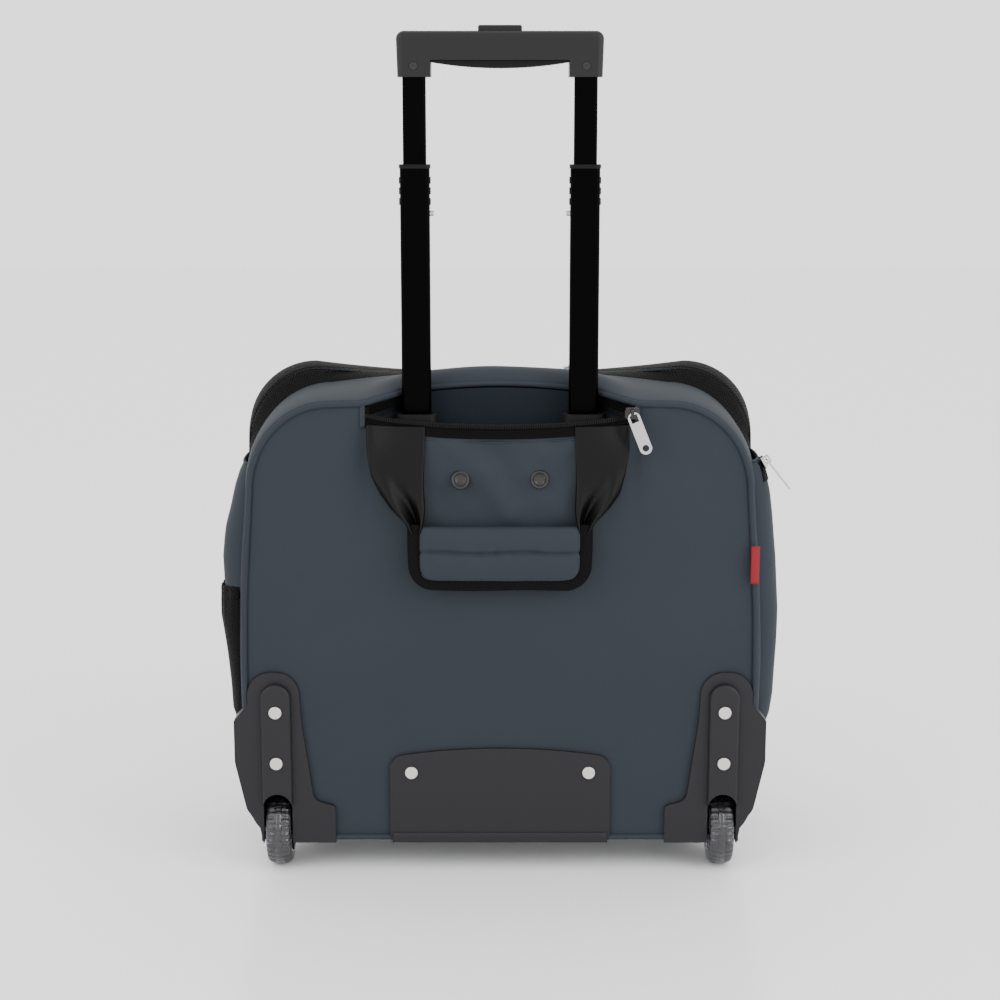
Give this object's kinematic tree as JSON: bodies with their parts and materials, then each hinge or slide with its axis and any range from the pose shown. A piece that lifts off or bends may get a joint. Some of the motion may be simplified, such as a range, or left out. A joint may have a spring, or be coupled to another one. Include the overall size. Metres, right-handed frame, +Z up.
{
  "type": "rolling laptop case",
  "caption": "Soft-sided rolling laptop case with a telescopic handle, padded carry handle, corner guards with clear-tyred wheels and zipped pockets.",
  "frame": {"origin": "on the floor, midway across the overall width and depth, with the telescopic handle part extended", "axes": "+Z up; -Y towards the rear, the side with the handle and the wheels; +X to the right of a person who stands behind the case and faces it"},
  "size_m": [0.4551, 0.2325, 0.6648],
  "materials": {
    "bag_cloth": "fine blue-grey coated weave, soft sheen",
    "black_cloth": "black twill tape and ballistic weave",
    "webbing": "satin black woven webbing",
    "lining": "plain lining",
    "board": "rolled polyethylene sheet",
    "guard_plastic": "warm dark grey, satin moulded",
    "black_plastic": "black, lightly textured",
    "grip_plastic": "charcoal, fine texture",
    "grip_soft": "soft matt elastomer",
    "tube_metal": "black anodised, glossy",
    "rivet_metal": "light nickel",
    "dark_nickel": "dark nickel plate",
    "zip_metal": "satin nickel plate",
    "steel": "bright steel",
    "tyre_clear": "clear polyurethane",
    "wheel_plastic": "dark moulded core",
    "label_cloth": "plain red woven tab"
  },
  "bodies": {
    "case": {"rear_gusset": "bag_cloth", "rear_panel": "bag_cloth", "rear_piping": "bag_cloth", "pocket_front": "bag_cloth", "pocket_zip_tapes": "black_cloth", "pocket_slider": "dark_nickel", "snap_buttons": "dark_nickel", "back_board": "board", "laptop_sleeve": "lining", "side_pocket_left": "bag_cloth", "side_pocket_right": "bag_cloth", "side_pocket_zip": "black_cloth", "side_slider": "zip_metal", "bottle_pocket": "black_cloth", "side_label": "label_cloth", "rivets": "rivet_metal", "kick_plate": "guard_plastic", "corner_guard_left": "guard_plastic", "corner_guard_right": "guard_plastic", "wheel_housings": "black_plastic", "wheel_axles": "steel", "handle_base": "black_plastic", "outer_tubes": "tube_metal", "tube_collars": "grip_plastic", "zip_band_rear": "black_cloth", "front_base": "bag_cloth", "front_feet": "guard_plastic"},
    "wheel_left": {"wheel_core_left": "wheel_plastic", "wheel_tyre_left": "tyre_clear"},
    "wheel_right": {"wheel_core_right": "wheel_plastic", "wheel_tyre_right": "tyre_clear"},
    "mid_stage": {"mid_tubes": "tube_metal", "mid_bushes": "black_plastic", "bush_pins": "steel", "mid_feet": "black_plastic"},
    "upper_stage": {"upper_tubes": "tube_metal", "lock_blocks": "black_plastic", "lock_pins": "steel", "grip_rear_shell": "grip_plastic", "grip_front_shell": "grip_plastic", "grip_underlay": "grip_soft", "grip_screws": "dark_nickel", "button_springs": "steel"},
    "button": {"release_button": "grip_plastic", "button_linkage": "black_plastic"},
    "carry_handle": {"carry_straps": "webbing", "handle_pad": "bag_cloth"},
    "pocket_pull": {"pocket_pull": "zip_metal"},
    "side_pull": {"side_pull": "zip_metal"},
    "main_slider_left": {"main_left_slider": "zip_metal"},
    "main_pull_left": {"main_left_pull": "zip_metal"},
    "main_slider_right": {"main_right_slider": "zip_metal"},
    "main_pull_right": {"main_right_pull": "zip_metal"},
    "front_section": {"zip_band_front": "black_cloth", "front_gusset": "bag_cloth", "front_panel": "bag_cloth", "front_pocket": "bag_cloth", "front_pocket_zip": "black_cloth", "front_slider": "zip_metal"},
    "front_pull": {"front_pull": "zip_metal"}
  },
  "joints": [
    {"name": "mid_slide", "type": "slide", "parent": "case", "child": "mid_stage", "axis": [0, 0, 1], "range_m": [-0.165, 0.076]},
    {"name": "upper_slide", "type": "slide", "parent": "mid_stage", "child": "upper_stage", "axis": [0, 0, 1], "range_m": [-0.055, 0.184]},
    {"name": "button_press", "type": "slide", "parent": "upper_stage", "child": "button", "axis": [0, 0, -1], "range_m": [0, 0.004], "stiffness_N_per_m": 600, "springref_m": -0.004, "deforming": ["button_springs"]},
    {"name": "wheel_left_spin", "type": "hinge", "parent": "case", "child": "wheel_left", "pos_m": [-0.178, -0.074, 0.03], "axis": [1, 0, 0], "continuous": true},
    {"name": "wheel_right_spin", "type": "hinge", "parent": "case", "child": "wheel_right", "pos_m": [0.178, -0.074, 0.03], "axis": [1, 0, 0], "continuous": true},
    {"name": "carry_handle_swing", "type": "hinge", "parent": "case", "child": "carry_handle", "pos_m": [0, -0.1067, 0.361], "axis": [-1, 0, 0], "range_deg": [0, 150]},
    {"name": "front_section_open", "type": "hinge", "parent": "case", "child": "front_section", "pos_m": [0, 0.08, 0.058], "axis": [-1, 0, 0], "range_deg": [0, 85]},
    {"name": "pocket_pull_swing", "type": "hinge", "parent": "case", "child": "pocket_pull", "pos_m": [0.101, -0.1089, 0.375], "axis": [-0.9287, -0.0222, -0.3702], "range_deg": [0, 150]},
    {"name": "side_pull_swing", "type": "hinge", "parent": "case", "child": "side_pull", "pos_m": [0.21037, -0.066, 0.33196], "axis": [0, -1, 0], "range_deg": [0, 110]},
    {"name": "main_slider_left_run", "type": "slide", "parent": "case", "child": "main_slider_left", "axis": [1, 0, 0], "range_m": [-0.04, 0.02]},
    {"name": "main_pull_left_swing", "type": "hinge", "parent": "main_slider_left", "child": "main_pull_left", "pos_m": [-0.006, 0.0055, 0.39404], "axis": [1, 0, 0], "range_deg": [0, 165]},
    {"name": "main_slider_right_run", "type": "slide", "parent": "case", "child": "main_slider_right", "axis": [1, 0, 0], "range_m": [-0.02, 0.02]},
    {"name": "main_pull_right_swing", "type": "hinge", "parent": "main_slider_right", "child": "main_pull_right", "pos_m": [0.057, 0.0055, 0.39535], "axis": [1, 0, 0], "range_deg": [0, 165]},
    {"name": "front_pull_swing", "type": "hinge", "parent": "front_section", "child": "front_pull", "pos_m": [-0.128, 0.1161, 0.222], "axis": [1, 0, 0], "range_deg": [0, 165]}
  ]
}
